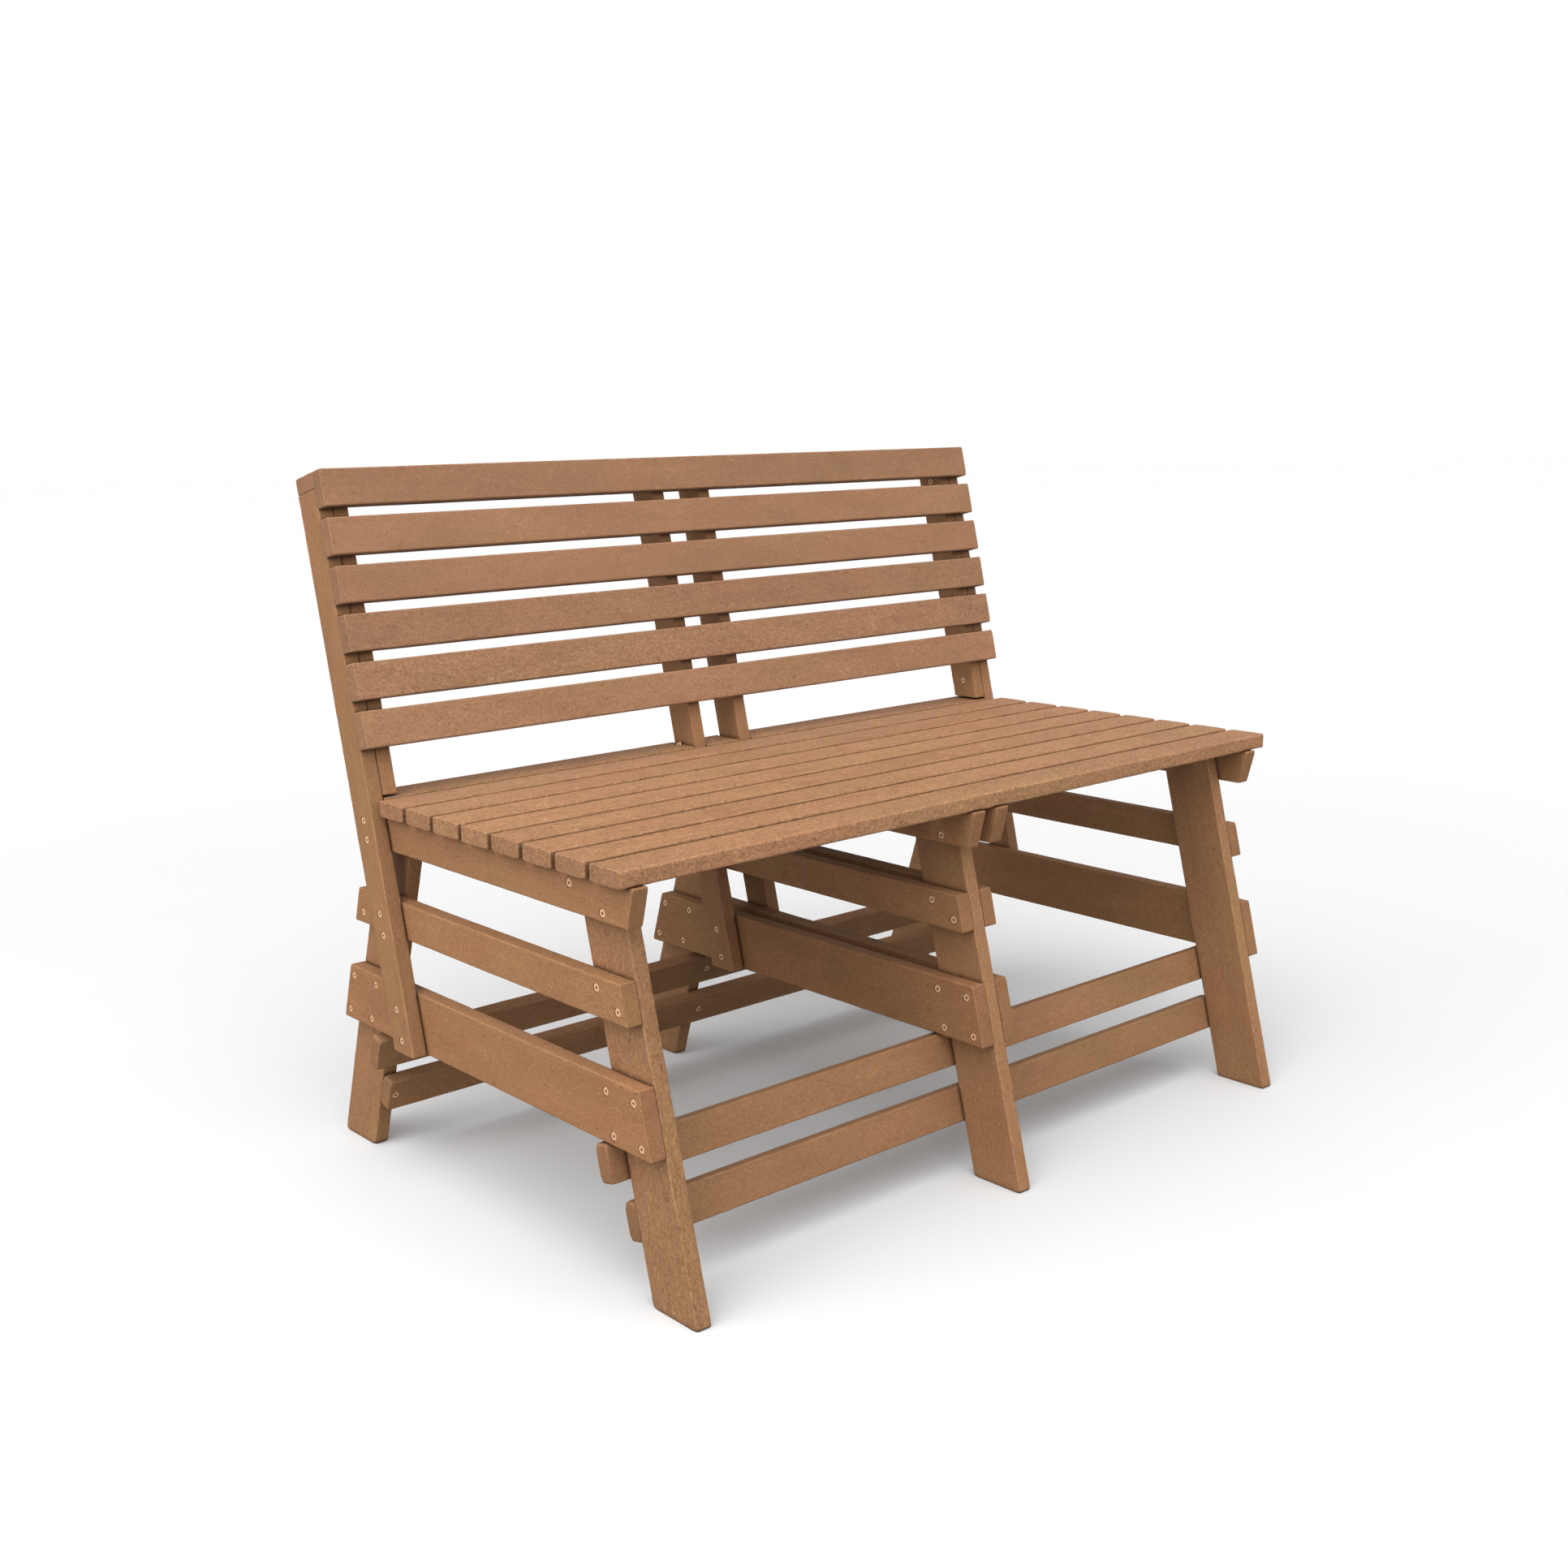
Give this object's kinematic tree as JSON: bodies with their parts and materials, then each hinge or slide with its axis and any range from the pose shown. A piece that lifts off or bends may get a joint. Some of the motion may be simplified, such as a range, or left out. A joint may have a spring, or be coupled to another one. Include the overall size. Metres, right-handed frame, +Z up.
{
  "type": "slatted park bench",
  "caption": "Long slatted bench with a high leaning slatted back, on three screwed A-shaped side frames joined by stretchers.",
  "frame": {"origin": "on the ground under the middle of the bench's bounding box", "axes": "+X along the bench towards the sitter's left hand, +Y towards the back, +Z up; the sitter faces -Y"},
  "size_m": [1.025, 0.7046, 0.8117],
  "materials": {
    "slat_board": "matt tan-brown speckled recycled lumber, slightly worn on its edges",
    "frame_board": "matt tan-brown speckled recycled lumber, slightly worn on its edges",
    "screw": "tan coated countersunk screw with a dark drive recess"
  },
  "bodies": {
    "root": {"seat_slat_1": "slat_board", "seat_slat_2": "slat_board", "seat_slat_3": "slat_board", "seat_slat_4": "slat_board", "seat_slat_5": "slat_board", "seat_slat_6": "slat_board", "seat_slat_7": "slat_board", "seat_slat_8": "slat_board", "rear_strip_left": "slat_board", "rear_strip_middle": "slat_board", "rear_strip_right": "slat_board", "back_slat_1": "slat_board", "back_slat_2": "slat_board", "back_slat_3": "slat_board", "back_slat_4": "slat_board", "back_slat_5": "slat_board", "back_slat_6": "slat_board", "top_cap": "slat_board", "post_left": "frame_board", "post_mid_left": "frame_board", "post_mid_right": "frame_board", "post_right": "frame_board", "batten_left": "frame_board", "batten_right": "frame_board", "front_leg_left": "frame_board", "front_leg_middle": "frame_board", "front_leg_right": "frame_board", "rear_leg_left": "frame_board", "rear_leg_middle": "frame_board", "rear_leg_right": "frame_board", "seat_rail_left": "frame_board", "seat_rail_mid_left": "frame_board", "seat_rail_mid_right": "frame_board", "seat_rail_right": "frame_board", "mid_rail_left": "frame_board", "mid_rail_mid_left": "frame_board", "mid_rail_mid_right": "frame_board", "mid_rail_right": "frame_board", "low_rail_left": "frame_board", "low_rail_mid_left": "frame_board", "low_rail_mid_right": "frame_board", "low_rail_right": "frame_board", "front_stretcher_upper": "frame_board", "front_stretcher_lower": "frame_board", "rear_stretcher_upper": "frame_board", "rear_stretcher_lower": "frame_board", "frame_screws_left": "screw", "frame_screws_mid_left": "screw", "frame_screws_mid_right": "screw", "frame_screws_right": "screw", "stretcher_screws": "screw", "batten_screws": "screw", "back_slat_screws": "screw", "seat_slat_screws": "screw", "cap_screws": "screw", "strip_screws": "screw"}
  },
  "joints": []
}
